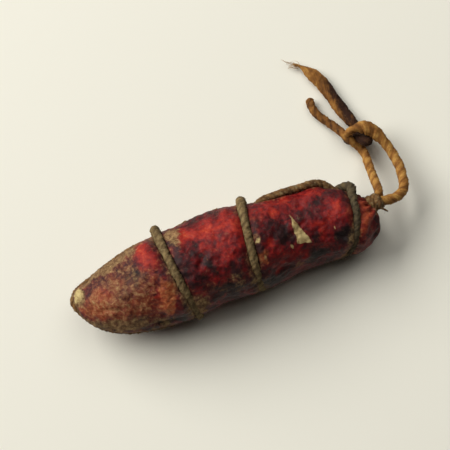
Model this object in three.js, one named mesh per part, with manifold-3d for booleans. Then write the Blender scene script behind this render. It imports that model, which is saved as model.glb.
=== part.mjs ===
// A small dry-cured salami, bound lengthwise and across with twine, with a knotted hanging cord.
// It lies on its flattened belly. Millimetres, +Z up, +X from the rounded tip to the tied neck,
// +Y to the back. The origin is under the middle of the sausage, on the surface that it lies on.
import * as THREE from 'three';
import { mergeVertices } from 'three/addons/utils/BufferGeometryUtils.js';
import Module from 'manifold-3d';

// Sausage
const BODY_LENGTH = 68.4;       // from the rounded tip to the end dome
const BODY_WIDTH = 19.5;       // across the fattest place, front to back
const BODY_HEIGHT = 18.4;      // at the same place
const BELLY_SAG = 0.4;         // how far the round section is pressed flat where it lies
const TIP_ROUNDING = 22;       // length over which the tip closes
const DOME_ROUNDING = 9;       // length over which the tied end closes

// Twine
const RING_TWINE = 2.0;        // diameter of the three tied rings
const LONG_TWINE = 1.8;        // diameter of the lengthwise twine
const NECK_THREAD = 1.1;       // diameter of the thread that binds the neck
const CORD = 2.2;              // diameter of the hanging cord
const TWINE_GAP = 0.3;         // clearance between pieces that touch
const RING_SINK = 0.35;        // how far a ring's centre lies under the skin
const CROSSING_COVER = 0.5;    // how far a ring presses the lengthwise twine's top under the skin
const CROSSING_SINK = LONG_TWINE / 2 + CROSSING_COVER;
const CROSSING_REACH = 2.5;    // half width of the hump of a ring over the lengthwise twine
const CROSSING_FLAT = 1.6;     // how far the lengthwise twine stays down on each side of a ring
const FLOOR_GAP = 0.1;         // how far the twine stays above the surface under the belly
const TIE_ANGLE = 26;          // degrees over which a ring's two ends lie side by side
const TIE_DRIFT = 94;          // degrees over which a ring's last stretch moves beside its start
const TIE_SPACING = RING_TWINE + 4 * TWINE_GAP;

// Neck
const NECK_RADIUS = 0.65;      // the gathered casing inside the binding
const NECK_ROOT_X = 4.2;       // how far inside the end dome the gathered casing starts
const NECK_REACH = 1.6;        // how far it stands out past the end dome
const NECK_SIDE = 0.2;         // its place towards the back
const NECK_HEIGHT = 8.8;       // its height over the surface
const BINDING_TURNS = 1.5;

// Fineness of the faceted surfaces
const TUBE_SIDES = 8;          // an even number
const BODY_SIDES = 32;
const BODY_STEP = 2.4;         // length of one step along the sausage
const END_STEPS = [0.15, 0.6, 1.3];    // closer steps, from each end
const NECK_SIDES = 12;
const RING_DEGREES = 7.5;      // between the points of a ring's route
const BINDING_DEGREES = 30;    // between the points of the binding's route
const RING_PITCH = 1.8;        // length of one step along each kind of twine
const LONG_PITCH = 2.2;
const THREAD_PITCH = 0.8;
const CORD_PITCH = 2 * CORD;

const TIP_X = -(BODY_LENGTH + NECK_REACH) / 2;
const DOME_X = TIP_X + BODY_LENGTH;
const HALF_WIDTH = BODY_WIDTH / 2;
const HALF_HEIGHT = BODY_HEIGHT / 2;

// The sausage's fullness and its sideways wander, by share of the length from the tip.
// The closing of the two ends is left to roundedEnd().
const FULLNESS = [
  [0.0, 0.93], [0.15, 0.95], [0.24, 0.96], [0.33, 0.99], [0.42, 0.98], [0.5, 1.0],
  [0.57, 0.98], [0.64, 0.92], [0.7, 0.87], [0.78, 0.82], [0.88, 0.8], [1.0, 0.78],
];
const WANDER = [
  [0.0, 2.4], [0.03, 0.9], [0.07, -0.1], [0.13, -0.3], [0.25, 0.0], [0.37, 0.2], [0.45, 0.7],
  [0.53, 0.7], [0.62, 0.3], [0.72, 0.4], [0.82, 0.2], [0.9, -0.6], [0.95, -1.2], [1.0, -2.8],
];

// The three rings: where each crosses the middle, and how far its plane leans along the length
// for each millimetre to the back and each millimetre up. The tie is where its two ends meet.
const RINGS = [
  { name: 'tip_ring', share: 0.34, slant: -0.128, lean: -0.078, tie: -42 },
  { name: 'middle_ring', share: 0.588, slant: 0.122, lean: -0.096, tie: -40 },
  { name: 'neck_ring', share: 0.899, slant: 0.27, lean: 0.37, tie: -36 },
];

// The lengthwise twine's place round the section, in degrees from the back over the top, and
// its centre's lift off the skin, by share of the length. It follows the back, rounds the tip
// and returns along the front, lower and lower, to the neck.
const BACK_RUN = [
  [0.967, 28, -0.8], [0.899, 30, -CROSSING_SINK], [0.85, 30, 1.0], [0.78, 29, 1.5],
  [0.7, 26, 0.9], [0.652, 20, -0.1], [0.588, 15, -CROSSING_SINK], [0.53, 4, -0.4], [0.46, -2, -0.3],
  [0.4, 6, -0.4], [0.34, 14, -CROSSING_SINK], [0.26, 13, -0.5], [0.22, 12, -0.5], [0.14, 10, -0.5],
  [0.07, 8, -0.5], [0.025, 4, -0.5],
];
const TIP_LIFT = -0.5;
const FRONT_RUN = [
  [0.025, 184, -0.5], [0.07, 188, -0.3], [0.14, 190, 0.0], [0.22, 191, 0.2], [0.28, 192, 0.0],
  [0.34, 194, -CROSSING_SINK], [0.42, 208, -0.2], [0.48, 212, 0.0], [0.53, 214, -0.1],
  [0.588, 214, -CROSSING_SINK], [0.65, 214, -0.1], [0.74, 212, 0.2], [0.8, 212, -0.2],
  [0.899, 212, -CROSSING_SINK], [0.935, 222, 0.0], [0.965, 244, 0.2],
  [0.98, 275, 0.2], [0.982, 310, 0.2],
];

// The hanging cord's route from the neck, in millimetres from the end of the gathered casing.
const LONG_LIMB = [
  [0.75, -0.3, 0.1], [2.2, -0.4, -0.4], [4.0, -0.1, -1.1], [5.6, 0.8, -1.9], [6.6, 2.2, -2.7],
  [7.1, 4.3, -3.5], [7.5, 6.5, -4.2], [7.4, 8.8, -4.7], [7.0, 11.2, -4.8], [6.2, 13.6, -4.4],
  [5.0, 15.8, -3.9],
];
const SHORT_LIMB = [
  [0.4, 2.5, -0.4], [0.6, 3.8, -1.2], [0.8, 5.3, -2.4], [1.2, 7.8, -4.2], [1.6, 10.2, -5.9],
  [1.9, 12.2, -7.0], [1.7, 13.6, -7.4], [1.0, 14.8, -6.9],
];
const LONG_END = [
  [1.8, 20.9, -7.5], [0.9, 23.8, -7.6], [0.1, 26.7, -7.6], [-0.7, 29.7, -7.6], [-1.6, 32.5, -7.6],
  [-2.9, 34.7, -7.6], [-4.2, 36.6, -7.6], [-5.1, 37.6, -7.6],
];
const SHORT_END = [
  [-1.7, 19.4, -6.3], [-2.5, 21.1, -7.2], [-3.6, 22.9, -7.6], [-4.7, 24.7, -7.6],
  [-5.3, 26.9, -7.6], [-5.1, 29.0, -7.6],
];
const KNOT_CENTRE = [1.8, 17.9, -5.6];
const KNOT_SIZE = [4.0, 6.2, 5.2];     // across, along and up
const KNOT_TURN = 38;                  // degrees from +Y towards -X

const wasm = await Module();
wasm.setup();

const degrees = THREE.MathUtils.degToRad;

// Reads a list of [share, value] pairs as a smooth curve.
function along(list, share) {
  const at = THREE.MathUtils.clamp(share, 0, 1);
  let i = 1;
  while (i < list.length - 1 && list[i][0] < at) i += 1;
  const [x0, y0] = list[i - 1];
  const [x1, y1] = list[i];
  return THREE.MathUtils.lerp(y0, y1, THREE.MathUtils.smootherstep(at, x0, x1));
}

// How much of the full section is left at x: 1 in the middle and 0 at the two ends.
function roundedEnd(x) {
  const closing = (depth, length) => Math.sqrt(1 - (1 - Math.min(depth / length, 1)) ** 2);
  return closing(Math.max(x - TIP_X, 0), TIP_ROUNDING) * closing(Math.max(DOME_X - x, 0), DOME_ROUNDING);
}

// The full section at x: its middle and its half sizes.
function sectionAt(x) {
  const share = (x - TIP_X) / BODY_LENGTH;
  const full = along(FULLNESS, share);
  return {
    side: along(WANDER, share),
    height: HALF_HEIGHT * full - BELLY_SAG,
    halfWidth: HALF_WIDTH * full,
    halfHeight: HALF_HEIGHT * full,
  };
}

// A point on the skin, at a place along the length and an angle from the back over the top.
function skin(x, angle) {
  const s = sectionAt(x);
  const cap = roundedEnd(x);
  const y = s.side + s.halfWidth * cap * Math.cos(degrees(angle));
  const z = s.height + s.halfHeight * cap * Math.sin(degrees(angle));
  return new THREE.Vector3(x, y, Math.max(z, 0));
}

// A point lifted off the skin, away from the sausage's middle line, and never below the surface
// that the sausage lies on.
function offSkin(x, angle, lift, radius) {
  const p = skin(x, angle);
  const spine = THREE.MathUtils.clamp(x, TIP_X + TIP_ROUNDING / 2, DOME_X - DOME_ROUNDING);
  const s = sectionAt(spine);
  const out = p.clone().sub(new THREE.Vector3(spine, s.side, s.height)).normalize();
  p.addScaledVector(out, lift);
  p.z = Math.max(p.z, radius + FLOOR_GAP);
  return p;
}

// A closed solid for joining and cutting.
function solid(geometry) {
  const bare = geometry.clone();
  bare.deleteAttribute('normal');
  bare.deleteAttribute('uv');
  const merged = mergeVertices(bare, 1e-4);
  return new wasm.Manifold(new wasm.Mesh({
    numProp: 3,
    vertProperties: merged.attributes.position.array,
    triVerts: new Uint32Array(merged.index.array),
  }));
}

function geometryOf(made) {
  const mesh = made.getMesh();
  const geometry = new THREE.BufferGeometry();
  geometry.setAttribute('position', new THREE.BufferAttribute(mesh.vertProperties, 3));
  geometry.setIndex(new THREE.BufferAttribute(mesh.triVerts, 1));
  geometry.computeVertexNormals();
  return geometry;
}

// A round tube along points, with one step for every pitch of length.
function tube(points, diameter, pitch) {
  const path = new THREE.CatmullRomCurve3(points, false, 'centripetal');
  const section = new THREE.Shape();
  section.absarc(0, 0, diameter / 2, 0, Math.PI * 2, false);
  return new THREE.ExtrudeGeometry(section, {
    extrudePath: path,
    curveSegments: TUBE_SIDES / 2,
    steps: Math.round(path.getLength() / pitch),
    bevelEnabled: false,
  });
}

// A ring's route: once round the sausage in its leaning plane, over the lengthwise twine, and
// on beside its own start until the two ends have passed each other.
function ringRoute(ring) {
  const centre = sectionAt(TIP_X + ring.share * BODY_LENGTH);
  const crossings = [angleOf(BACK_RUN, ring.share), angleOf(FRONT_RUN, ring.share)];
  const over = LONG_TWINE / 2 + RING_TWINE / 2 + TWINE_GAP - CROSSING_SINK;
  const points = [];
  for (let turned = 0; turned <= 360 + TIE_ANGLE; turned += RING_DEGREES) {
    const angle = ring.tie + turned;
    const beside = THREE.MathUtils.smoothstep(turned, 360 - TIE_DRIFT, 360) * TIE_SPACING;
    let lift = -RING_SINK;
    for (const crossing of crossings) {
      const away = degrees(Math.abs(THREE.MathUtils.euclideanModulo(angle - crossing + 180, 360) - 180));
      const hump = Math.exp(-((away * centre.halfWidth / CROSSING_REACH) ** 2));
      lift += (over + RING_SINK) * hump;
    }
    const x = ringPlace(ring, angle, lift, RING_TWINE / 2);
    points.push(offSkin(x + beside, angle, lift, RING_TWINE / 2));
  }
  return points;
}

function angleOf(run, share) {
  return run.find((stop) => stop[0] === share)[1];
}

// Where a ring's leaning plane meets the skin at an angle, as a place along the length.
function ringPlace(ring, angle, lift, radius) {
  const middle = TIP_X + ring.share * BODY_LENGTH;
  const centre = sectionAt(middle);
  let x = middle;
  for (let pass = 0; pass < 6; pass += 1) {
    const p = offSkin(x, angle, lift, radius);
    x = middle + ring.slant * p.y + ring.lean * (p.z - centre.height);
  }
  return x;
}

// The lengthwise twine dips under each ring, and stays down for a little way on both sides.
function lengthwiseRoute() {
  const radius = LONG_TWINE / 2;
  const place = ([share, angle, lift], heading) => {
    const ring = RINGS.find((r) => r.share === share);
    if (!ring) return [offSkin(TIP_X + share * BODY_LENGTH, angle, lift, radius)];
    const x = ringPlace(ring, angle, lift, radius);
    return [-CROSSING_FLAT, 0, CROSSING_FLAT].map((d) => offSkin(x + heading * d, angle, lift, radius));
  };
  const tip = offSkin(TIP_X, 0, TIP_LIFT, radius);
  return [
    ...BACK_RUN.flatMap((stop) => place(stop, -1)),
    tip,
    ...FRONT_RUN.flatMap((stop) => place(stop, 1)),
  ];
}

const NECK_END = new THREE.Vector3(DOME_X + NECK_REACH, NECK_SIDE, NECK_HEIGHT);

// The thread's turns round the gathered casing.
function bindingRoute() {
  const radius = NECK_RADIUS + TWINE_GAP + NECK_THREAD / 2;
  const pitch = NECK_THREAD + TWINE_GAP;
  const start = NECK_END.x - NECK_THREAD / 2 - BINDING_TURNS * pitch;
  const points = [];
  for (let turned = 0; turned <= BINDING_TURNS * 360; turned += BINDING_DEGREES) {
    points.push(new THREE.Vector3(
      start + (pitch * turned) / 360,
      NECK_END.y + radius * Math.cos(degrees(turned)),
      NECK_END.z + radius * Math.sin(degrees(turned)),
    ));
  }
  return points;
}

// The sausage before it is bound: a capsule of unit radius, stretched to the section at each x.
function plumpBody() {
  const profile = [new THREE.Vector2(0, TIP_X)];
  const count = Math.round(BODY_LENGTH / BODY_STEP);
  const stops = END_STEPS.map((d) => TIP_X + d);
  for (let i = 1; i < count; i += 1) stops.push(TIP_X + (BODY_LENGTH * i) / count);
  stops.push(...END_STEPS.toReversed().map((d) => DOME_X - d));
  for (const x of stops) profile.push(new THREE.Vector2(roundedEnd(x), x));
  profile.push(new THREE.Vector2(0, DOME_X));
  const geometry = new THREE.LatheGeometry(profile, BODY_SIDES);
  const position = geometry.attributes.position;
  for (let i = 0; i < position.count; i += 1) {
    const x = position.getY(i);
    const s = sectionAt(x);
    const y = s.side - s.halfWidth * position.getX(i);
    const z = s.height + s.halfHeight * position.getZ(i);
    position.setXYZ(i, x, y, Math.max(z, 0));
  }
  return geometry;
}

// The gathered end of the casing, which stands out of the dome inside the binding.
function gatheredNeck() {
  const length = NECK_ROOT_X + NECK_REACH;
  const geometry = new THREE.CylinderGeometry(NECK_RADIUS, NECK_RADIUS * 2, length, NECK_SIDES);
  geometry.rotateZ(-Math.PI / 2);
  geometry.translate(NECK_END.x - length / 2, NECK_END.y, NECK_END.z);
  return geometry;
}

// What a twine takes out of the sausage: a wider tube on its own route, with a ball at both ends.
function groove({ points, diameter, pitch }) {
  const width = diameter + 2 * TWINE_GAP;
  let cut = solid(tube(points, width, pitch));
  const radius = width / 2 + TWINE_GAP / 2;
  for (const end of [points[0], points.at(-1)]) {
    const ball = new THREE.SphereGeometry(radius, TUBE_SIDES + 2, TUBE_SIDES - 2);
    ball.translate(end.x, end.y, end.z);
    cut = cut.add(solid(ball));
  }
  return cut;
}

// The sausage with its neck, and with the grooves that the twines press into it.
function salamiBody(twines) {
  let body = solid(plumpBody()).add(solid(gatheredNeck()));
  for (const twine of twines) body = body.subtract(groove(twine));
  return geometryOf(body);
}

function knotLump() {
  const geometry = new THREE.SphereGeometry(0.5, 2 * TUBE_SIDES, 1.5 * TUBE_SIDES);
  geometry.scale(...KNOT_SIZE);
  geometry.rotateZ(degrees(KNOT_TURN));
  geometry.translate(...fromNeck(KNOT_CENTRE).toArray());
  return geometry;
}

function fromNeck(point) {
  return NECK_END.clone().add(new THREE.Vector3(...point));
}

const SKIN = new THREE.MeshStandardMaterial({ color: 0x7a2418, roughness: 0.6, metalness: 0 });
const TWINE = new THREE.MeshStandardMaterial({ color: 0x6e5f3c, roughness: 0.9, metalness: 0 });
const CORD_FIBRE = new THREE.MeshStandardMaterial({ color: 0xaa6e32, roughness: 0.85, metalness: 0 });

function piece(name, geometry, material) {
  const mesh = new THREE.Mesh(geometry, material.clone());
  mesh.name = name;
  return mesh;
}

// The twines that press into the sausage.
const bound = [
  { name: 'lengthwise_twine', points: lengthwiseRoute(), diameter: LONG_TWINE, pitch: LONG_PITCH },
  { name: 'neck_binding', points: bindingRoute(), diameter: NECK_THREAD, pitch: THREAD_PITCH },
  ...RINGS.map((ring) => (
    { name: ring.name, points: ringRoute(ring), diameter: RING_TWINE, pitch: RING_PITCH }
  )),
];

const group = new THREE.Group();
group.add(piece('salami_body', salamiBody(bound), SKIN));
for (const { name, points, diameter, pitch } of bound) {
  group.add(piece(name, tube(points, diameter, pitch), TWINE));
}
const strands = { long_limb: LONG_LIMB, short_limb: SHORT_LIMB, long_end: LONG_END, short_end: SHORT_END };
for (const [name, route] of Object.entries(strands)) {
  group.add(piece(`hanging_cord_${name}`, tube(route.map(fromNeck), CORD, CORD_PITCH), CORD_FIBRE));
}
group.add(piece('hanging_cord_knot', knotLump(), CORD_FIBRE));

export default group;
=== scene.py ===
"""A small dry-cured salami, bound with twine, with a knotted hanging cord, on a pale floor.

Everything is in metres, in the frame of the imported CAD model: +X runs from the rounded tip to the
tied neck, +Y to the back and +Z up. The sausage lies on the floor, which is at z = 0.
"""

import math

import bmesh
import bpy
import numpy as np
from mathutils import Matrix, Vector, noise
from mathutils.kdtree import KDTree


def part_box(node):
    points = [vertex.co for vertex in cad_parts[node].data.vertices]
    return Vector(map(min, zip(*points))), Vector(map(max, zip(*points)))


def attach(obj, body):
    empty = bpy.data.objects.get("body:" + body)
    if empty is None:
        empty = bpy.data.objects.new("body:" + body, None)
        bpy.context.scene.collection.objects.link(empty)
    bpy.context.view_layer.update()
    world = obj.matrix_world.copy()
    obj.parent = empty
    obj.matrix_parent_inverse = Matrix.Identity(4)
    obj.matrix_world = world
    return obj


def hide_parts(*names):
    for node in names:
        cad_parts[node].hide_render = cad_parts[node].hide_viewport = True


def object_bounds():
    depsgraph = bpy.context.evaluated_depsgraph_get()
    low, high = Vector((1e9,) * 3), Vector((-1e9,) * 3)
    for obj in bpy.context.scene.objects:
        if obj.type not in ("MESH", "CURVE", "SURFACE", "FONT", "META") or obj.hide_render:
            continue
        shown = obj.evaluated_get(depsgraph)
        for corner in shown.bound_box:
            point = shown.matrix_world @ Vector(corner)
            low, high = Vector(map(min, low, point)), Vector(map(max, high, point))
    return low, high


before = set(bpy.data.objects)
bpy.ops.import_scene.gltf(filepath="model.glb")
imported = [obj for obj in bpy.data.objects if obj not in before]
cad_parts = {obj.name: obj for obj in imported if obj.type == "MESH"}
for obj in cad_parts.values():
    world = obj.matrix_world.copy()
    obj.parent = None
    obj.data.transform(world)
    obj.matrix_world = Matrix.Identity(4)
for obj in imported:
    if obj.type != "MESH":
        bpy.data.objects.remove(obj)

CAD_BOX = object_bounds()
MM = 0.001

# The camera looks down on the sausage from the front and a little from the left.
CAMERA_AZIMUTH = -20.0
CAMERA_ELEVATION = 78.0
CAMERA_DISTANCE = 281 * MM
CAMERA_LENS = 101.1                      # on a 36 mm sensor
CAMERA_TARGET = Vector((-2.1 * MM, -5.4 * MM, 0))       # from the middle of the CAD box

# The diameters of the twines and the cord, and how high the cord lies off the floor.
RING_TWINE = 2.0 * MM
LONG_TWINE = 1.8 * MM
NECK_THREAD = 1.1 * MM
CORD = 2.2 * MM
CORD_FLOOR_GAP = 0.03 * MM

# The hanging cord's routes, in millimetres from the end of the neck. The long strand passes over the
# short strand and turns down beside it, where the two cut into each other. It comes back under the
# short strand, turns in the dark lump of the knot, and runs out below itself to its frayed end.
LONG_STRAND = [
    (-0.6, -0.1, 0.3), (0.75, -0.3, 0.1), (2.2, -0.4, -0.4), (4.0, -0.1, -1.1), (5.6, 0.8, -1.9),
    (6.6, 2.2, -2.7), (7.1, 4.3, -3.5), (7.5, 6.5, -4.2), (7.4, 8.8, -4.7), (7.0, 11.2, -4.8),
    (6.2, 13.6, -4.4), (5.0, 15.8, -3.9), (3.5, 17.2, -3.4), (2.1, 17.7, -3.3), (0.8, 17.8, -3.5),
    (-0.2, 17.7, -4.3), (-0.7, 17.3, -5.6), (-0.5, 16.9, -6.9), (0.2, 16.7, -7.4), (1.2, 16.6, -6.9),
    (1.9, 15.9, -5.9), (2.4, 14.9, -4.9), (3.0, 14.4, -4.7), (3.5, 15.1, -5.6), (3.3, 16.6, -6.8),
    (2.7, 18.4, -7.4), (1.8, 20.9, -7.5), (0.9, 23.8, -7.6), (0.1, 26.7, -7.6), (-0.7, 29.7, -7.6),
    (-1.6, 32.5, -7.6), (-2.9, 34.7, -7.6), (-4.2, 36.6, -7.6), (-5.1, 37.6, -7.6),
]
SHORT_STRAND = [
    (-0.2, 0.9, 0.2), (0.4, 2.5, -0.4), (0.6, 3.8, -1.2), (0.8, 5.3, -2.4), (1.2, 7.8, -4.2),
    (1.6, 10.2, -5.9), (1.9, 12.2, -7.0), (1.7, 13.6, -7.4), (1.0, 14.8, -6.9), (0.1, 15.8, -6.2),
    (-0.7, 17.0, -5.6), (-1.3, 18.4, -5.9), (-1.7, 19.4, -6.3), (-2.5, 21.1, -7.2), (-3.6, 22.9, -7.6),
    (-4.7, 24.7, -7.6), (-5.3, 26.9, -7.6), (-5.1, 29.0, -7.6),
]


def middle(low_high):
    low, high = low_high
    return (low + high) / 2


def neck_end():
    """Where the hanging cord leaves the sausage: the outer face of the neck's binding."""
    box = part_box("neck_binding")
    at = middle(box)
    return Vector((box[1].x, at.y, at.z))


def make_camera():
    a, e = math.radians(CAMERA_AZIMUTH), math.radians(CAMERA_ELEVATION)
    back = Vector((math.sin(a) * math.cos(e), -math.cos(a) * math.cos(e), math.sin(e)))
    target = middle(CAD_BOX)
    target.z = 0
    data = bpy.data.cameras.new("camera")
    data.lens = CAMERA_LENS
    data.sensor_width = 36
    data.clip_start = 10 * MM
    camera = bpy.data.objects.new("camera", data)
    camera.location = target + CAMERA_TARGET + back * CAMERA_DISTANCE
    camera.rotation_euler = (-back).to_track_quat("-Z", "Y").to_euler()
    bpy.context.scene.collection.objects.link(camera)
    bpy.context.scene.camera = camera


# ---------------------------------------------------------------- lines and tubes

def smoothstep(low, high, value):
    share = np.clip((value - low) / (high - low), 0, 1)
    return share * share * (3 - 2 * share)


def between(value, rise_from, rise_to, fall_from, fall_to):
    """1 in the middle of a span, and 0 outside it, with smooth sides."""
    return smoothstep(rise_from, rise_to, value) * (1 - smoothstep(fall_from, fall_to, value))


def unit(vectors):
    return vectors / np.linalg.norm(vectors, axis=-1, keepdims=True)


def centripetal(a, b, c, d, count):
    """Points from b towards c on the centripetal Catmull-Rom curve through four points."""
    knots = np.cumsum([0] + [math.sqrt(np.linalg.norm(q - p)) for p, q in ((a, b), (b, c), (c, d))])
    at = np.linspace(knots[1], knots[2], count, endpoint=False)[:, None]

    def mix(p, q, i, j):
        return (p * (knots[j] - at) + q * (at - knots[i])) / (knots[j] - knots[i])

    ab, bc, cd = mix(a, b, 0, 1), mix(b, c, 1, 2), mix(c, d, 2, 3)
    return mix(mix(ab, bc, 0, 2), mix(bc, cd, 1, 3), 1, 2)


def smooth_line(points, step):
    """A smooth curve through the points, as points that are a step apart."""
    p = np.array(points, float)
    p = np.vstack([2 * p[0] - p[1], p, 2 * p[-1] - p[-2]])
    pieces = [centripetal(*p[i:i + 4], 24) for i in range(len(p) - 3)]
    dense = np.vstack(pieces + [p[-2:-1]])
    run = run_of(dense)
    stops = np.linspace(0, run[-1], max(int(round(run[-1] / step)), 2) + 1)
    return np.stack([np.interp(stops, run, dense[:, k]) for k in range(3)], axis=1)


def run_of(line):
    """The length of the line up to each of its points."""
    return np.concatenate([[0], np.cumsum(np.linalg.norm(np.diff(line, axis=0), axis=1))])


def transported(tangent):
    """A direction across the line at each point, which doesn't turn about the line."""
    first = np.cross(tangent[0], (0, 0, 1) if abs(tangent[0][2]) < 0.9 else (1, 0, 0))
    across = [unit(first)]
    for t in tangent[1:]:
        kept = across[-1] - t * (across[-1] @ t)
        across.append(unit(kept))
    return np.array(across)


def centre_line(node):
    """The line along the middle of a CAD tube: the mean of each of its sections, from end to end."""
    made = bmesh.new()
    made.from_mesh(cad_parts[node].data)
    bmesh.ops.remove_doubles(made, verts=made.verts, dist=1e-6)
    section = end_cap(made)
    seen = set()
    line = []
    while section:
        seen |= section
        line.append(np.mean([v.co for v in section], axis=0))
        section = {e.other_vert(v) for v in section for e in v.link_edges} - seen
    made.free()
    return np.array(line)


def end_cap(made):
    """The corners of one flat end of a tube: faces in one plane whose corners lie on a circle."""
    for face in sorted(made.faces, key=lambda f: tuple(f.calc_center_median())):
        flat = {face}
        found = [face]
        while found:
            for edge in found.pop().edges:
                for other in edge.link_faces:
                    if other not in flat and other.normal.dot(face.normal) > 0.99999:
                        flat.add(other)
                        found.append(other)
        corners = {v for f in flat for v in f.verts}
        centre = sum((v.co for v in corners), Vector()) / len(corners)
        reach = [(v.co - centre).length for v in corners]
        if len(corners) > 5 and max(reach) < 1.02 * min(reach):
            return corners
    raise ValueError("the tube has no flat end")


class Shell:
    """Vertices and faces of one piece, with values kept at each vertex for its material."""

    def __init__(self):
        self.points = []
        self.faces = []
        self.values = {}

    def add(self, points, faces, **values):
        first = sum(len(p) for p in self.points)
        self.points.append(np.asarray(points, float))
        self.faces += [tuple(first + i for i in f) for f in faces]
        for name, value in values.items():
            whole = np.broadcast_to(value, (len(points),) + np.shape(value)[1:])
            self.values.setdefault(name, []).append(whole)

    def object(self, name):
        mesh = bpy.data.meshes.new(name)
        mesh.from_pydata(np.vstack(self.points).tolist(), [], self.faces)
        for key, parts in self.values.items():
            data = np.concatenate(parts)
            kind, field = ("FLOAT_VECTOR", "vector") if data.ndim == 2 else ("FLOAT", "value")
            layer = mesh.attributes.new(key, kind, "POINT")
            layer.data.foreach_set(field, data.astype(np.float32).ravel())
        mesh.shade_smooth()
        made = bpy.data.objects.new(name, mesh)
        bpy.context.scene.collection.objects.link(made)
        return made


def tube_faces(rows, sides):
    """The faces of a tube of rows of points, closed by a point at each end."""
    faces = []
    for i in range(rows - 1):
        for j in range(sides):
            k = (j + 1) % sides
            faces.append((i * sides + j, i * sides + k, (i + 1) * sides + k, (i + 1) * sides + j))
    start, end = rows * sides, rows * sides + 1
    last = (rows - 1) * sides
    for j in range(sides):
        k = (j + 1) % sides
        faces.append((start, k, j))
        faces.append((end, last + j, last + k))
    return faces


def waves_round(phase, run, seed):
    """Smooth noise on a tube: for each point along it a row of values round it."""
    def value(turn, far):
        place = Vector((2.2 * math.cos(turn), 2.2 * math.sin(turn), 900 * far + seed * 7))
        return noise.fractal(place, 0.6, 2.0, 3)

    return np.array([[value(turn, far) for turn in row] for row, far in zip(phase, run)])


def add_twist(shell, line, radius, plies, lay, *, sides=24, furrow=0.22, wide=1.0, flat=1.0,
              lumps=0.06, stain=0.0, stain_and_shade_side=None, one_sided=1.0, seed=0):
    """Adds strands laid round each other along a line, once round for each lay of length. wide and
    flat stretch the section level with the floor and upwards. A darkening, partly stain and partly
    painted shade, can keep to one side where one_sided is 1."""
    line = np.asarray(line, float)
    run = run_of(line)
    tangent = unit(np.gradient(line, axis=0))
    normal = transported(tangent)
    across = np.cross(tangent, normal)
    turn = np.linspace(0, 2 * math.pi, sides, endpoint=False)
    rounds = np.concatenate([[0], np.cumsum(np.diff(run) / np.broadcast_to(lay, len(line))[1:])])
    phase = turn[None, :] - 2 * math.pi * rounds[:, None]
    lobe = np.abs(np.cos(phase * plies / 2)) ** 0.8
    size = np.broadcast_to(radius, len(line)).astype(float)
    nearest_end = np.minimum(run, run[-1] - run)
    rounding = np.sqrt(1 - (1 - np.clip(nearest_end / (0.7 * size), 0.06, 1)) ** 2)
    reach = (size * rounding)[:, None] * (1 - furrow * (1 - lobe))
    out = np.cos(turn)[None, :, None] * normal[:, None] + np.sin(turn)[None, :, None] * across[:, None]
    reach = reach * (1 + lumps * waves_round(phase, run, seed))
    offset = out * reach[:, :, None]
    stretch = np.stack([np.broadcast_to(wide, len(line))] * 2 + [np.broadcast_to(flat, len(line))], axis=1)
    offset = offset * stretch[:, None, :]
    points = (line[:, None, :] + offset).reshape(-1, 3)
    ends = np.array([line[0], line[-1]])
    fibre = np.stack([np.cos(phase), np.sin(phase), np.broadcast_to(rounds[:, None], phase.shape)], axis=2)
    fibre_ends = np.array([[0, 0, 0], [0, 0, rounds[-1]]])
    # The darkening kept at each vertex: a real stain, and painted shade where the strand lies in shadow.
    stain_and_shade_rows = np.broadcast_to(stain, len(line))[:, None] * np.ones(sides)
    if stain_and_shade_side is not None:
        aside = smoothstep(-0.5, 0.5, out @ np.array(stain_and_shade_side))
        stain_and_shade_rows = stain_and_shade_rows * (1 + np.broadcast_to(one_sided, len(line))[:, None] * (0.8 * aside - 0.8))
    stain_and_shade_all = np.concatenate([stain_and_shade_rows.ravel(), [stain_and_shade_rows[0, 0], stain_and_shade_rows[-1, 0]]])
    # furrow is 1 in the hollows between the plies, where the material paints shade.
    shell.add(
        np.vstack([points, ends]), tube_faces(len(line), sides),
        fibre=np.vstack([fibre.reshape(-1, 3), fibre_ends]),
        furrow=np.concatenate([(1 - lobe).ravel(), [0.5, 0.5]]),
        stain=stain_and_shade_all,
        fuzz=np.zeros(len(points) + 2),
    )


def add_fuzz(shell, line, radius, count, length, seed):
    """Adds fine loose fibres that stand out from a twine, thinner towards their ends."""
    rng = np.random.default_rng(seed)
    line = np.asarray(line, float)
    size = np.broadcast_to(radius, len(line))
    tangent = unit(np.gradient(line, axis=0))
    normal = transported(tangent)
    across = np.cross(tangent, normal)
    for _ in range(count):
        i = int(rng.integers(1, len(line) - 1))
        turn = rng.uniform(0, 2 * math.pi)
        out = math.cos(turn) * normal[i] + math.sin(turn) * across[i]
        side = -math.sin(turn) * normal[i] + math.cos(turn) * across[i]
        along, aside, away = rng.uniform(-1, 1), rng.uniform(-0.8, 0.8), rng.uniform(0.2, 0.9)
        heading = unit(tangent[i] * along + side * aside + out * away)
        bend = out * rng.uniform(-0.5, 0.3) + side * rng.uniform(-0.6, 0.6)
        reach = length * rng.uniform(0.4, 1.3)
        share = np.linspace(0, 1, 5)[:, None]
        hair = line[i] + out * size[i] * 0.8 + reach * (heading * share + bend * share ** 2 * 0.5)
        hair[:, 2] = np.maximum(hair[:, 2], CORD_FLOOR_GAP * 2)
        add_hair(shell, hair, rng.uniform(0.018, 0.035) * MM)


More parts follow.
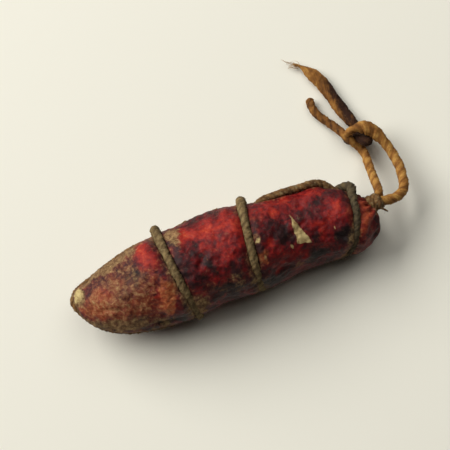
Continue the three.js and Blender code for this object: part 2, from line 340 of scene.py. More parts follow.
def add_hair(shell, line, radius, stain=0.0):
    """Adds one fibre: a thin closed three-sided tube that tapers to its end."""
    rows, sides = len(line), 3
    tangent = unit(np.gradient(line, axis=0))
    normal = transported(tangent)
    across = np.cross(tangent, normal)
    turn = np.arange(sides) * 2 * math.pi / sides
    size = radius * np.linspace(1, 0.3, rows)
    out = np.cos(turn)[None, :, None] * normal[:, None] + np.sin(turn)[None, :, None] * across[:, None]
    points = (line[:, None] + out * size[:, None, None]).reshape(-1, 3)
    points = np.vstack([points, line[0], line[-1]])
    shell.add(
        points, tube_faces(rows, sides),
        fibre=np.zeros((len(points), 3)), furrow=np.zeros(len(points)),
        stain=np.full(len(points), stain), fuzz=np.ones(len(points)),
    )


# ---------------------------------------------------------------- materials

def colour(red, green, blue):
    """A colour as it looks on a screen, from 0 to 255, as the linear one that shaders take."""
    def linear(value):
        share = value / 255
        return share / 12.92 if share <= 0.04045 else ((share + 0.055) / 1.055) ** 2.4

    return (linear(red), linear(green), linear(blue), 1)


class Nodes:
    """A short way to write a node tree."""

    def __init__(self, name):
        self.material = bpy.data.materials.new(name)
        self.material.use_nodes = True
        self.tree = self.material.node_tree
        self.tree.nodes.clear()
        self.shader = self.add("ShaderNodeBsdfPrincipled")
        output = self.add("ShaderNodeOutputMaterial")
        self.tree.links.new(self.shader.outputs[0], output.inputs["Surface"])

    def add(self, kind, inputs=(), **settings):
        node = self.tree.nodes.new(kind)
        for name, value in settings.items():
            setattr(node, name, value)
        for key, value in dict(inputs).items():
            self.put(node.inputs[key], value)
        return node

    def put(self, socket, value):
        if isinstance(value, bpy.types.NodeSocket):
            self.tree.links.new(value, socket)
        else:
            socket.default_value = value

    def attribute(self, name, vector=False):
        node = self.add("ShaderNodeAttribute", attribute_name=name)
        return node.outputs["Vector" if vector else "Fac"]

    def noise(self, vector, scale, detail=4.0, rough=0.6, distortion=0.0):
        node = self.add("ShaderNodeTexNoise", {
            "Vector": vector, "Scale": scale, "Detail": detail, "Roughness": rough, "Distortion": distortion,
        })
        return node.outputs["Fac"]

    def math(self, operation, a, b=0.0, clamp=False):
        node = self.add("ShaderNodeMath", {0: a, 1: b}, operation=operation, use_clamp=clamp)
        return node.outputs[0]

    def ramp(self, value, *stops):
        node = self.add("ShaderNodeValToRGB", {"Fac": value})
        elements = node.color_ramp.elements
        while len(elements) < len(stops):
            elements.new(0.5)
        for element, (at, shade) in zip(elements, stops):
            element.position = at
            element.color = shade
        return node.outputs["Color"]

    def steps(self, value, low, high):
        """0 below low, 1 above high, and smooth between them."""
        node = self.add("ShaderNodeMapRange", {"Value": value, "From Min": low, "From Max": high},
                        interpolation_type="SMOOTHSTEP")
        return node.outputs["Result"]

    def mix(self, share, a, b, blend="MIX"):
        node = self.tree.nodes.new("ShaderNodeMix")
        node.data_type = "RGBA"
        node.blend_type = blend
        self.put(node.inputs[0], share)
        self.put(node.inputs[6], a)
        self.put(node.inputs[7], b)
        return node.outputs[2]

    def bump(self, height, strength, distance, normal=None):
        node = self.add("ShaderNodeBump", {"Height": height, "Strength": strength, "Distance": distance})
        if normal is not None:
            self.put(node.inputs["Normal"], normal)
        return node.outputs["Normal"]

    def place(self):
        return self.add("ShaderNodeTexCoord").outputs["Object"]


def casing_material():
    """Dry casing over red meat, with dark patches, some of them painted shade in creases and hollows, orange
    places, pale specks and olive mould, a painted sheen on the dome, and painted shade beside the twines.
    """
    n = Nodes("salami_casing")
    place = n.place()
    broad = n.noise(place, 260, 5, 0.62, 0.8)
    mottle = n.noise(place, 1000, 6, 0.7, 0.4)
    grain = n.noise(place, 3600, 4, 0.7)
    heat = n.math("ADD", n.math("MULTIPLY", broad, 0.9), n.math("MULTIPLY", mottle, 0.75))
    heat = n.math("SUBTRACT", heat, 0.42)
    heat = n.math("ADD", heat, n.math("MULTIPLY", n.attribute("bright"), 0.26))
    heat = n.math("SUBTRACT", heat, n.math("MULTIPLY", n.attribute("dark"), 0.34))
    meat = n.ramp(
        heat, (0.1, colour(26, 13, 14)), (0.3, colour(50, 15, 18)), (0.46, colour(92, 14, 18)),
        (0.62, colour(130, 22, 18)), (0.8, colour(164, 44, 26)), (1.0, colour(188, 94, 56)),
    )
    ochre = n.ramp(mottle, (0.3, colour(92, 40, 26)), (0.5, colour(152, 78, 44)), (0.7, colour(186, 128, 78)))
    orange = n.math("ADD", n.attribute("ochre"), n.math("MULTIPLY", n.math("SUBTRACT", broad, 0.5), 1.2))
    shade = n.mix(n.math("MULTIPLY", n.steps(orange, 0.1, 1.0), 0.85), meat, ochre)
    dust = n.ramp(
        n.math("ADD", n.math("MULTIPLY", mottle, 0.6), n.math("MULTIPLY", grain, 0.4)),
        (0.3, colour(50, 34, 24)), (0.45, colour(104, 78, 52)), (0.58, colour(152, 126, 86)),
        (0.72, colour(196, 176, 128)),
    )
    # The mould's pale cover, with the painted sheen on the dome.
    cover = n.math("ADD", n.attribute("mould_and_sheen"), n.math("MULTIPLY", n.math("SUBTRACT", mottle, 0.5), 1.9))
    cover = n.math("ADD", cover, n.math("MULTIPLY", n.math("SUBTRACT", broad, 0.5), 0.7))
    cover = n.steps(cover, 0.25, 1.05)
    shade = n.mix(n.math("MULTIPLY", cover, 0.85), shade, dust)
    fleck = n.steps(n.noise(place, 1100, 5, 0.75, 1.2), 0.55, 0.75)
    shade = n.mix(n.math("MULTIPLY", fleck, 0.35), shade, colour(160, 118, 84))
    scrape = n.math("ADD", n.attribute("scrape"), n.math("MULTIPLY", n.math("SUBTRACT", mottle, 0.5), 0.6))
    scraped = n.ramp(mottle, (0.35, colour(128, 100, 62)), (0.6, colour(196, 176, 122)))
    scrape = n.math("MULTIPLY", n.steps(scrape, 0.35, 0.7), 0.92)
    shade = n.mix(scrape, shade, scraped)
    # Painted shade beside the twines, in a deep shadow colour.
    groove_shade = n.math("MULTIPLY", n.attribute("groove_shade"), 0.85)
    shade = n.mix(groove_shade, shade, colour(24, 19, 17))
    n.put(n.shader.inputs["Base Color"], shade)
    dry = n.math("MAXIMUM", cover, scrape)
    rough = n.add("ShaderNodeMapRange", {"Value": dry, "To Min": 0.5, "To Max": 0.9}).outputs["Result"]
    n.put(n.shader.inputs["Roughness"], rough)
    n.shader.inputs["Specular IOR Level"].default_value = 0.2
    fine = n.bump(grain, 0.5, 0.12 * MM)
    n.put(n.shader.inputs["Normal"], n.bump(mottle, 0.6, 0.35 * MM, fine))
    return n.material


def twine_material(name, dark, body, light, dust, dust_share):
    """Laid hemp: fibres that follow the strands, with painted shade between them, and dust on top."""
    n = Nodes(name)
    place = n.place()
    fibre = n.attribute("fibre", vector=True)
    stretched = n.add("ShaderNodeVectorMath", {0: fibre, 1: (7.0, 7.0, 2.2)}, operation="MULTIPLY").outputs[0]
    threads = n.noise(stretched, 1.6, 5, 0.65, 0.2)
    patches = n.noise(place, 520, 5, 0.65, 0.3)
    tone = n.math("ADD", n.math("MULTIPLY", threads, 0.62), n.math("MULTIPLY", patches, 0.62))
    # Painted shade: darker in the furrows between the plies.
    tone = n.math("SUBTRACT", tone, n.math("MULTIPLY", n.attribute("furrow"), 0.16))
    # Darker where stained, and painted shade where a strand lies in shadow, as in the knot's dark lump.
    tone = n.math("SUBTRACT", tone, n.math("MULTIPLY", n.attribute("stain"), 0.36))
    shade = n.ramp(tone, (0.28, dark), (0.55, body), (0.82, light))
    powder = n.steps(n.noise(place, 1500, 5, 0.65, 0.2), 0.62 - 0.3 * dust_share, 0.8 - 0.2 * dust_share)
    shade = n.mix(n.math("MULTIPLY", powder, dust_share), shade, dust)
    n.put(n.shader.inputs["Base Color"], shade)
    n.shader.inputs["Roughness"].default_value = 0.85
    n.shader.inputs["Specular IOR Level"].default_value = 0.25
    fine = n.bump(threads, 0.8, 0.12 * MM)
    n.put(n.shader.inputs["Normal"], n.bump(n.noise(place, 2600, 4, 0.7), 0.4, 0.1 * MM, fine))
    return n.material


# ---------------------------------------------------------------- the sausage

CASING_VOXEL = 0.25 * MM
CASING_SMOOTHINGS = 46
TIP_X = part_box("salami_body")[0].x
DOME_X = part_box("neck_ring")[1].x + 1.4 * MM
SPINE = Vector((0, 0.3 * MM, middle(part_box("salami_body")).z - 0.2 * MM))
AROUND_MM = 0.165 * MM                   # one degree round the skin

# The skin's relief, in millimetres, with how far apart its lumps are.
LUMPS = 0.30, 4.5 * MM
SMALL_LUMPS = 0.16, 1.7 * MM
WRINKLES = 0.06, 1.2 * MM
GRAIN = 0.06, 0.6 * MM
NECK_FOLDS = 13
NECK_FOLD_DEPTH = 0.35
SWELL_HEIGHT = 0.3                       # how far the skin swells beside a twine
CRUST_HEIGHT = 0.6                       # the mould's crust along the front
FRONT_DEGREES = 182                      # where the crust is thickest

# Places on the skin: share of the length from the tip, degrees from the back over the top, half
# its length as a share, half its width in degrees, and strength. Each fades out past that size.
BRIGHT = [
    (0.262, 60, 0.034, 26, 1.0), (0.272, 124, 0.014, 10, 0.8), (0.105, 92, 0.025, 14, 0.6),
    (0.187, 120, 0.014, 8, 0.4), (0.46, 55, 0.075, 26, 1.0), (0.40, 50, 0.05, 20, 0.8),
    (0.54, 74, 0.045, 30, 0.9), (0.50, 96, 0.03, 16, 0.6), (0.46, 122, 0.03, 14, 0.4),
    # The second place on this line, on the dome, is painted light: it brightens the dome, which gets little
    # lamp light.
    (0.66, 50, 0.05, 22, 0.9), (0.95, 115, 0.04, 50, 0.7),
    (0.64, 48, 0.04, 22, 0.7), (0.634, 106, 0.016, 10, 1.0), (0.78, 36, 0.06, 20, 0.8),
    (0.865, 78, 0.035, 26, 1.0), (0.80, 112, 0.03, 16, 0.6), (0.65, 138, 0.03, 14, 0.4),
    (0.45, 230, 0.10, 30, 0.7), (0.72, 250, 0.08, 30, 0.8), (0.50, 320, 0.10, 24, 0.6),
    (0.22, 300, 0.06, 30, 0.6),
]
# Dark places: dark patches of the meat, and painted shade along the crease at the front bottom.
DARK = [
    (0.345, 112, 0.018, 34, 0.8), (0.36, 85, 0.012, 22, 0.4), (0.426, 93, 0.010, 6, 1.1),
    (0.411, 79, 0.02, 10, 0.35), (0.442, 106, 0.014, 12, 0.8), (0.211, 84, 0.014, 10, 0.8),
    (0.319, 174, 0.010, 8, 1.2), (0.69, 100, 0.03, 18, 0.7), (0.66, 74, 0.02, 12, 0.3),
    (0.785, 122, 0.018, 12, 0.8), (0.867, 140, 0.022, 16, 1.3), (0.777, 157, 0.04, 10, 0.8),
    (0.62, 166, 0.06, 14, 0.8), (0.47, 150, 0.06, 14, 0.6), (0.515, 118, 0.02, 14, 0.5),
    # The first place on this line is painted shade along the crease at the front bottom.
    (0.25, 171, 0.07, 3, 1.0), (0.58, 260, 0.06, 24, 0.8), (0.30, 240, 0.06, 20, 0.7),
]
OCHRE = [
    (0.085, 104, 0.04, 40, 0.85), (0.05, 118, 0.03, 30, 0.7), (0.288, 122, 0.020, 22, 1.4),
    (0.272, 140, 0.025, 14, 1.3), (0.15, 110, 0.13, 60, 0.5), (0.609, 120, 0.014, 9, 0.9),
    (0.63, 58, 0.025, 14, 0.4), (0.95, 112, 0.045, 60, 0.45),
    (0.15, 250, 0.06, 30, 0.8),
]
# Olive mould, and on the dome (0.95, 110) a pale painted sheen.
MOULD_AND_SHEEN = [
    (0.03, 60, 0.02, 40, 1.1), (0.15, 34, 0.13, 16, 0.95), (0.16, 90, 0.12, 70, 0.35),
    (0.12, 160, 0.12, 16, 0.75), (0.24, 168, 0.05, 12, 0.7), (0.37, 158, 0.035, 20, 0.95),
    (0.365, 46, 0.020, 24, 1.3), (0.51, 138, 0.03, 18, 0.6), (0.60, 96, 0.010, 40, 0.55),
    (0.566, 152, 0.03, 16, 0.9), (0.45, 136, 0.05, 12, 0.45), (0.73, 164, 0.05, 8, 0.5),
    # The first place on this line is painted sheen, a pale highlight over the dome.
    (0.95, 110, 0.04, 60, 0.3), (0.60, 290, 0.20, 26, 0.5), (0.85, 220, 0.10, 30, 0.5),
    (0.98, 250, 0.06, 60, 0.5),
]
SCRAPE = [
    (0.606, 96, 0.006, 5, 0.7), (0.611, 121, 0.007, 6, 0.6), (0.852, 121, 0.004, 5, 0.7),
    (0.028, 54, 0.022, 30, 0.75), (0.35, 300, 0.012, 9, 0.9), (0.703, 124, 0.006, 5, 0.8),
]
# Where the casing is rubbed bare in a wedge: its point, and the two corners of its wide end.
WEDGE = (0.731, 68), (0.722, 124), (0.768, 134)
# Creases: from one share and angle to another, then the width and depth in millimetres.
CREASES = [
    ((0.17, 172), (0.33, 168), 0.7, 0.7), ((0.40, 106), (0.445, 86), 0.6, 0.45),
    ((0.20, 92), (0.245, 70), 0.8, 0.4), ((0.70, 112), (0.78, 84), 0.6, 0.3),
    ((0.84, 132), (0.885, 150), 0.8, 0.5), ((0.47, 66), (0.52, 92), 0.5, 0.25),
    ((0.62, 150), (0.70, 158), 0.7, 0.4), ((0.08, 120), (0.16, 136), 0.7, 0.3),
    ((0.45, 250), (0.55, 232), 0.8, 0.4), ((0.66, 300), (0.78, 316), 0.8, 0.4),
    ((0.20, 220), (0.30, 238), 0.8, 0.4), ((0.10, 310), (0.20, 328), 0.8, 0.4),
]


# Where the sausage bulges or is hollow: a place as above, with the height in millimetres.
BULGES = [(0.262, 60, 0.045, 34, 0.6), (0.30, 150, 0.04, 24, 0.3), (0.86, 24, 0.06, 26, 0.55)]
HOLLOWS = [(0.175, 62, 0.045, 34, 0.5), (0.06, 30, 0.02, 40, 0.3), (0.385, 150, 0.04, 24, 0.3)]


def remeshed_body():
    """The CAD body as an even, closed mesh of small faces."""
    made = bpy.data.objects.new("salami_casing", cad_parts["salami_body"].data.copy())
    bpy.context.scene.collection.objects.link(made)
    bpy.context.view_layer.objects.active = made
    made.data.materials.clear()
    remesh = made.modifiers.new("remesh", "REMESH")
    remesh.mode = "VOXEL"
    remesh.voxel_size = CASING_VOXEL
    bpy.ops.object.modifier_apply(modifier=remesh.name)
    return made


def smoothed(points, edges, times):
    """The points, each moved half way to the middle of its neighbours, a number of times."""
    a, b = edges.T
    count = np.bincount(a, minlength=len(points)) + np.bincount(b, minlength=len(points))
    for _ in range(times):
        total = np.stack([
            np.bincount(a, points[b, k], len(points)) + np.bincount(b, points[a, k], len(points))
            for k in range(points.shape[1])
        ], axis=1)
        points = 0.5 * points + 0.5 * total / count[:, None]
    return points


def normals_of(mesh):
    out = np.empty(len(mesh.vertices) * 3, np.float32)
    mesh.vertex_normals.foreach_get("vector", out)
    return out.reshape(-1, 3).astype(float)


def points_of(mesh):
    out = np.empty(len(mesh.vertices) * 3, np.float32)
    mesh.vertices.foreach_get("co", out)
    return out.reshape(-1, 3).astype(float)


def set_points(mesh, points):
    mesh.vertices.foreach_set("co", points.astype(np.float32).ravel())
    mesh.update()


def edges_of(mesh):
    out = np.empty(len(mesh.edges) * 2, np.int32)
    mesh.edges.foreach_get("vertices", out)
    return out.reshape(-1, 2)


def fractal(points, scale, octaves=3, shift=0.0):
    """Smooth noise from about -1 to 1, whose lumps are about a scale apart."""
    moved = points / scale + shift
    return np.array([noise.fractal(Vector(p), 0.7, 2.0, octaves) for p in moved])


def skin_place(points):
    """Each point's share of the length and its degrees from the back over the top."""
    share = (points[:, 0] - TIP_X) / (DOME_X - TIP_X)
    turn = np.degrees(np.arctan2(points[:, 2] - SPINE.z, points[:, 1] - SPINE.y)) % 360
    return share, turn


def patches(share, turn, places):
    """How strongly each point belongs to a list of places on the skin."""
    total = np.zeros(len(share))
    for at, degrees, length, width, strength in places:
        around = (turn - degrees + 180) % 360 - 180
        far = np.hypot((share - at) / length, around / width)
        total = np.maximum(total, strength * (1 - smoothstep(0.35, 1.45, far)))
    return total


def in_wedge(share, turn):
    """How far inside the rubbed wedge each point lies, in millimetres from its nearest side."""
    length = DOME_X - TIP_X
    here = np.stack([share * length, turn * AROUND_MM], axis=1)
    corners = [np.array([at * length, degrees * AROUND_MM]) for at, degrees in WEDGE]
    inside = np.full(len(share), np.inf)
    for i in range(3):
        side = unit(corners[(i + 1) % 3] - corners[i])
        inward = np.array([side[1], -side[0]])
        inward = inward * np.sign(inward @ (corners[(i + 2) % 3] - corners[i]))
        inside = np.minimum(inside, (here - corners[i]) @ inward)
    return inside / MM


def crease_depth(share, turn):
    """How deep each point lies in the creases of the skin."""
    length = DOME_X - TIP_X
    total = np.zeros(len(share))
    for (s0, t0), (s1, t1), width, depth in CREASES:
        start = np.array([s0 * length, t0 * AROUND_MM])
        along = np.array([s1 * length, t1 * AROUND_MM]) - start
        here = np.stack([share * length, turn * AROUND_MM], axis=1) - start
        part = np.clip(here @ along / (along @ along), 0, 1)
        far = np.linalg.norm(here - part[:, None] * along, axis=1)
        ends = np.sin(np.pi * np.clip(part, 0.03, 0.97))
        total += depth * MM * ends * np.exp(-(far / (width * MM)) ** 2)
    return total


def nearest_twine(points, lines):
    """How far each point is from the surface of the nearest bound twine, how much it lies on the
    twine's side towards the neck, from -1 to 1, and the direction to the twine."""
    tree = KDTree(sum(len(line) for line, _ in lines))
    sizes = []
    for line, size in lines:
        for p, radius in zip(line, size):
            tree.insert(p, len(sizes))
            sizes.append(radius)
    tree.balance()
    far, side, towards = np.empty(len(points)), np.empty(len(points)), np.empty((len(points), 3))
    for i, p in enumerate(points):
        nearest, k, reach = tree.find(p)
        far[i] = reach - sizes[k]
        side[i] = (p[0] - nearest.x) / max(reach, 1e-9)
        towards[i] = (np.array(nearest) - p) / max(reach, 1e-9)
    return far, side, towards


def make_casing(lines):
    """The casing, swollen between the twines, lumpy, creased and wrinkled, with its gathered neck. The
    heights are in millimetres until the skin is moved."""
    made = remeshed_body()
    mesh = made.data
    set_points(mesh, smoothed(points_of(mesh), edges_of(mesh), CASING_SMOOTHINGS))
    points, normal = points_of(mesh), normals_of(mesh)
    share, turn = skin_place(points)
    far, side, towards = nearest_twine(points, lines)
    away = smoothstep(0.1 * MM, 1.4 * MM, far)
    on_body = 1 - smoothstep(0.985, 1.01, share)
    lumps = LUMPS[0] * fractal(points, LUMPS[1], 3)
    lumps = lumps + SMALL_LUMPS[0] * fractal(points, SMALL_LUMPS[1], 2, 9.0)
    stretched = points * (0.5, 1, 1)
    wrinkles = WRINKLES[0] * np.abs(fractal(stretched, WRINKLES[1], 2, 4.0))
    grain = GRAIN[0] * fractal(points, GRAIN[1], 2, 2.0)
    swell = SWELL_HEIGHT * np.exp(-((far - 2.4 * MM) / (1.8 * MM)) ** 2)
    swell = swell + patches(share, turn, BULGES) - patches(share, turn, HOLLOWS)
    folds = np.cos(np.radians(turn) * NECK_FOLDS + 2 * fractal(points, 5 * MM, 1))
    gather = NECK_FOLD_DEPTH * folds * smoothstep(0.93, 0.985, share)
    front = 1 - smoothstep(30, 62, np.abs((turn - FRONT_DEGREES + 180) % 360 - 180))
    crust = CRUST_HEIGHT * front * np.exp(-((far - 0.5 * MM) / (1.1 * MM)) ** 2)
    crust = crust * (1 + 0.5 * fractal(points, 1.5 * MM, 2, 7.0))
    height = (lumps - wrinkles + grain) * (0.15 + 0.85 * away) + (swell + gather) * away + crust
    moved = points + normal * ((height * MM - crease_depth(share, turn) * away) * on_body)[:, None]
    # The dried casing clings to the twines.
    cling = 0.85 * np.maximum(far, 0) * (1 - smoothstep(0.55 * MM, 1.25 * MM, far))
    moved = moved + towards * (cling * on_body)[:, None]
    moved[:, 2] = np.maximum(moved[:, 2], 0.0)
    set_points(mesh, moved)
    mesh.shade_smooth()
    sway = fractal(points, 2.4 * MM, 3, 5.0), fractal(points, 2.4 * MM, 3, 11.0)
    paint_casing(mesh, share, turn, sway, far, side, front)
    mesh.materials.append(casing_material())
    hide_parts("salami_body")
    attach(made, "root")


def paint_casing(mesh, share, turn, sway, far, side, front):
    """Keeps at each vertex how bright, dark, ochre, mouldy (with a painted sheen on the dome) and scraped
    the skin is there, and the painted shade beside the twines. Most mould lies on the side of a ring
    towards the tip, and on the other side a dark band of painted shade stands for the ring's shadow."""
    scrape = patches(share + 0.003 * sway[0], turn + 3 * sway[1], SCRAPE)
    wedge = smoothstep(-0.45, 0.35, in_wedge(share + 0.004 * sway[0], turn + 3 * sway[1]))
    scrape = np.maximum(scrape, 0.95 * wedge)
    share = share + 0.012 * sway[0]
    turn = turn + 8 * sway[1]
    to_neck = smoothstep(-0.3, 0.6, side)
    near_twine = (1 - smoothstep(0.2 * MM, 2.0 * MM, far)) * (1 - 0.45 * to_neck)
    left = 1 - smoothstep(0.24, 0.36, share)
    mould_and_sheen = np.maximum(patches(share, turn, MOULD_AND_SHEEN), 0.7 * near_twine) + 0.2 * left + 0.35 * near_twine * front
    layers = {
        "bright": patches(share, turn, BRIGHT),
        "dark": patches(share, turn, DARK),
        "ochre": patches(share, turn, OCHRE),
        "mould_and_sheen": mould_and_sheen - 0.35 * patches(share, turn, BRIGHT),
        "scrape": scrape,
        # Painted shade beside the twines: a little on both sides, most on the side towards the neck where the
        # rings' shadows fall, less over the front.
        "groove_shade": (1 - smoothstep(0.0, 0.9 * MM, far)) * (0.1 + 0.75 * to_neck) * (1 - 0.7 * front),
    }
    for name, value in layers.items():
        layer = mesh.attributes.new(name, "FLOAT", "POINT")
        layer.data.foreach_set("value", value.astype(np.float32))


# ---------------------------------------------------------------- twines and cords

TWINE_STEP = 0.2 * MM
OLIVE = (colour(34, 27, 17), colour(94, 74, 46), colour(158, 134, 90), colour(150, 134, 94))
BROWN = (colour(32, 20, 10), colour(92, 62, 34), colour(152, 112, 64), colour(170, 156, 112))
DUSKY = (colour(24, 20, 14), colour(64, 53, 37), colour(112, 94, 62), colour(112, 102, 74))
GOLD = (colour(46, 22, 9), colour(138, 90, 38), colour(210, 164, 86), colour(180, 146, 92))

SUNK = 0.34 * MM                         # how deep a twine is pressed into the skin over the front
RINGS_PRESSED = (35, 75, 215, 250)       # degrees where the rings go in and come out again
LONG_PRESSED = 0.75                      # the lengthwise twine is pressed in less, all the way
BACK_RISE = 0.7 * MM                     # it stands off the back before the neck ring

NECK_TAIL = [(-1.8, -0.6, 1.0), (-1.0, -1.5, 1.0), (-0.2, -2.2, 0.7), (0.5, -2.8, 0.1)]

# Along the long strand, as shares of its length: where it is spread flat, the broad band over the
# knot, the thinner tuck behind it, the darkening of stain and painted shade (painted shade in the
# knot's dark lump, stain and painted shade on the shaded side of its free end), and where its end thins out.
SPREAD = (0.66, 0.78)
BAND = (0.31, 0.36, 0.40, 0.44)
TUCK = (0.40, 0.43, 0.47, 0.5)
STAIN_AND_SHADE = (0.46, 0.5, 0.83, 0.93)
THINNED = (0.92, 1.0)
# The side that the darkening keeps to on the free end: a real stain, and painted shade on the side away from
# the window lamp.
STAIN_AND_SHADE_SIDE = (0.9, 0.35, 0.25)


def bound_lines():
    """The smooth middle line and radius of each twine that is bound on the sausage."""
    sizes = {
        "lengthwise_twine": LONG_TWINE, "tip_ring": RING_TWINE, "middle_ring": RING_TWINE,
        "neck_ring": RING_TWINE, "neck_binding": NECK_THREAD,
    }
    return {
        node: sunk(smooth_line(centre_line(node), TWINE_STEP), size / 2, node)
        for node, size in sizes.items()
    }


def sunk(line, radius, node):
    """A bound twine's line and radius where it is pressed into the skin: thinner and lower over the
    front, and thicker at the back, where it stands free of the mould."""
    share, turn = skin_place(line)
    if node == "neck_binding":
        return line, radius * np.ones(len(line))
    front = between(turn, *RINGS_PRESSED)
    if node == "lengthwise_twine":
        front = LONG_PRESSED * np.ones(len(line))
    inward = unit((np.array(SPINE) - line) * (0, 1, 1))
    pressed = line + inward * (SUNK * front)[:, None]
    if node == "lengthwise_twine":
        pressed[:, 1] += BACK_RISE * np.exp(-((share - 0.875) / 0.055) ** 2) * (line[:, 1] > 0)
    return pressed, radius * (1 - 0.14 * front)


def make_bound_twines(lines):
    materials = {
        "lengthwise_twine": twine_material("brown_twine", *BROWN, 0.45),
        "tip_ring": twine_material("olive_twine", *OLIVE, 0.55),
        "neck_ring": twine_material("dusky_twine", *DUSKY, 0.5),
    }
    materials["middle_ring"] = materials["tip_ring"]
    materials["neck_binding"] = materials["lengthwise_twine"]
    for seed, (node, (line, size)) in enumerate(lines.items()):
        shell = Shell()
        add_twist(shell, line, size, 2, 4.4 * size, lumps=0.24, furrow=0.08, seed=seed)
        add_fuzz(shell, line, size, int(run_of(line)[-1] / (0.5 * MM)), 0.8 * MM, seed + 20)
        if node == "neck_binding":
            add_neck_turns(shell, line, size)
        made = shell.object(node + "_strands")
        above_floor(made)
        made.data.materials.append(materials[node])
        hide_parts(node)
        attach(made, "root")


def add_neck_turns(shell, line, size):
    """More turns of the neck's thread, over and between the first ones, and its loose tail."""
    end = np.array(neck_end())
    for seed, (along, wider) in enumerate(((0.4, 0.9), (-0.5, 0.95))):
        moved = (line - end) * (1, wider, wider) + end + np.array([along * MM, 0, 0])
        add_twist(shell, moved, size * 0.85, 2, 2.4 * MM, lumps=0.3, furrow=0.1, seed=50 + seed)
    tail = smooth_line([end + np.array(p) * MM for p in NECK_TAIL], TWINE_STEP)
    add_twist(shell, tail, 0.26 * MM * np.linspace(1.2, 0.7, len(tail)), 2, 1.6 * MM, lumps=0.3, seed=60)
    add_fuzz(shell, tail, 0.2 * MM, 8, 0.6 * MM, 61)


def cord_line(route):
    return smooth_line([neck_end() + Vector(p) * MM for p in route], TWINE_STEP)


def above_floor(made):
    """Flattens a piece's underside where it would go into the floor."""
    points = points_of(made.data)
    points[:, 2] = np.maximum(points[:, 2], CORD_FLOOR_GAP)
    set_points(made.data, points)


def make_cords():
    material = twine_material("golden_cord", *GOLD, 0.25)
    long_line = cord_line(LONG_STRAND)
    share = np.linspace(0, 1, len(long_line))
    spread = smoothstep(*SPREAD, share)
    # The darkening runs from the knot's dark lump, where it is painted shade, out along the free end.
    band, tuck, stain = between(share, *BAND), between(share, *TUCK), between(share, *STAIN_AND_SHADE)
    size = CORD / 2 * (1 + 0.08 * band - 0.2 * tuck) * (1 - 0.85 * smoothstep(*THINNED, share))
    # The strand itself ends where it gets thin, and the thin end is a piece with the fibres.
    whole = int(np.argmax((size < 0.4 * CORD) & (share > 0.8)))
    shell, frayed = Shell(), Shell()
    for part, piece in ((slice(0, whole), shell), (slice(whole - 10, None), frayed)):
        add_twist(
            piece, long_line[part], size[part], 2, (5.0 + 14 * spread[part]) * MM, sides=28, lumps=0.15,
            furrow=0.07 + 0.07 * spread[part, None], wide=1 + 0.4 * np.maximum(spread, 0.7 * band)[part],
            flat=1 - 0.2 * spread[part], stain=stain[part], stain_and_shade_side=STAIN_AND_SHADE_SIDE,
            one_sided=spread[part], seed=31,
        )
    add_fuzz(shell, long_line[:whole - 8], CORD / 2, 90, 0.8 * MM, 41)
    made = shell.object("hanging_cord_long_strand")
    finish_cord(made, material, "hanging_cord_long_limb", "hanging_cord_long_end", "hanging_cord_knot")
    fibres = make_frayed_fibres(frayed, long_line[-1], material)

    short_line = cord_line(SHORT_STRAND)
    share = np.linspace(0, 1, len(short_line))
    shell = Shell()
    add_twist(shell, short_line, CORD / 2 * (0.9 - 0.04 * share), 2, 5.0 * MM, sides=28, lumps=0.15,
              furrow=0.08, stain=0.35 * smoothstep(0.5, 0.7, share), seed=32)
    add_fuzz(shell, short_line, CORD / 2, 50, 0.8 * MM, 42)
    short = shell.object("hanging_cord_short_strand")
    finish_cord(short, material, "hanging_cord_short_limb", "hanging_cord_short_end")


def finish_cord(made, material, *nodes):
    above_floor(made)
    made.data.materials.append(material)
    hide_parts(*nodes)
    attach(made, "root")


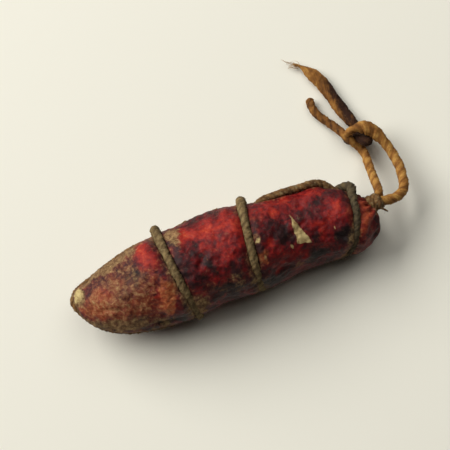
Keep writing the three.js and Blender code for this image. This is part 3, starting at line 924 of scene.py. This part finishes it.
def make_frayed_fibres(shell, tip, material):
    """The thin end that the long strand frays into, with two wisps and some short hairs."""
    rng = np.random.default_rng(7)
    wisps = [((-2.9, 2.1), 1.0, 9), ((-2.4, -0.3), 0.8, 6), ((-1.2, 1.2), 0.7, 10)]
    for (x, y), reach, count in wisps:
        for _ in range(count):
            length = reach * rng.uniform(0.55, 1.05)
            end = np.array([x, y, 0]) * MM * length + rng.normal(0, 0.16, 3) * MM
            start = tip + np.array([0.5, -0.6, 0]) * MM + rng.normal(0, 0.28, 3) * (MM, MM, 0.3 * MM)
            curl = rng.normal(0, 0.3, 3) * MM
            share = np.linspace(0, 1, 9)[:, None]
            line = start + (tip + end - start) * share + curl * np.sin(np.pi * share)
            line[:, 2] = np.maximum(line[:, 2], 0.12 * MM)
            add_hair(shell, line, rng.uniform(0.035, 0.075) * MM)
    made = shell.object("frayed_fibres")
    above_floor(made)
    made.data.materials.append(material)
    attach(made, "root")
    return made


# ---------------------------------------------------------------- the stage

def make_floor():
    bpy.ops.mesh.primitive_plane_add(size=2)
    floor = bpy.context.object
    floor.name = "floor"
    n = Nodes("pale_floor")
    n.shader.inputs["Base Color"].default_value = colour(236, 234, 222)
    n.shader.inputs["Roughness"].default_value = 0.9
    n.shader.inputs["Specular IOR Level"].default_value = 0.1
    floor.data.materials.append(n.material)


def add_lamp(name, azimuth, elevation, width, height, power):
    """A soft lamp that shines on the sausage, seen from it at an azimuth from +X towards +Y."""
    a, e = math.radians(azimuth), math.radians(elevation)
    direction = Vector((math.cos(a) * math.cos(e), math.sin(a) * math.cos(e), math.sin(e)))
    data = bpy.data.lights.new(name, "AREA")
    data.shape = "ELLIPSE"
    data.size = width
    data.size_y = height
    data.energy = power
    data.color = LAMP_COLOUR
    lamp = bpy.data.objects.new(name, data)
    lamp.location = direction * LAMP_DISTANCE
    lamp.rotation_euler = direction.to_track_quat("Z", "Y").to_euler()
    bpy.context.scene.collection.objects.link(lamp)


# Each lamp's name, azimuth and elevation in degrees, width and height in metres, and power in watts.
LAMPS = [("window", 136, 38, 1.35, 0.75, 17.4), ("ceiling", 50, 62, 1.1, 1.1, 3.9)]
LAMP_DISTANCE = 1.1
LAMP_COLOUR = (1.0, 0.985, 0.95)


def make_light():
    for lamp in LAMPS:
        add_lamp(*lamp)
    world = bpy.data.worlds.new("room")
    world.use_nodes = True
    background = world.node_tree.nodes["Background"]
    background.inputs["Color"].default_value = (1.0, 0.98, 0.94, 1)
    background.inputs["Strength"].default_value = 0.02
    bpy.context.scene.world = world
    bpy.context.scene.view_settings.view_transform = "Standard"


make_camera()
make_cords()
twines = bound_lines()
make_bound_twines(twines)
make_casing(list(twines.values()))
make_floor()
make_light()
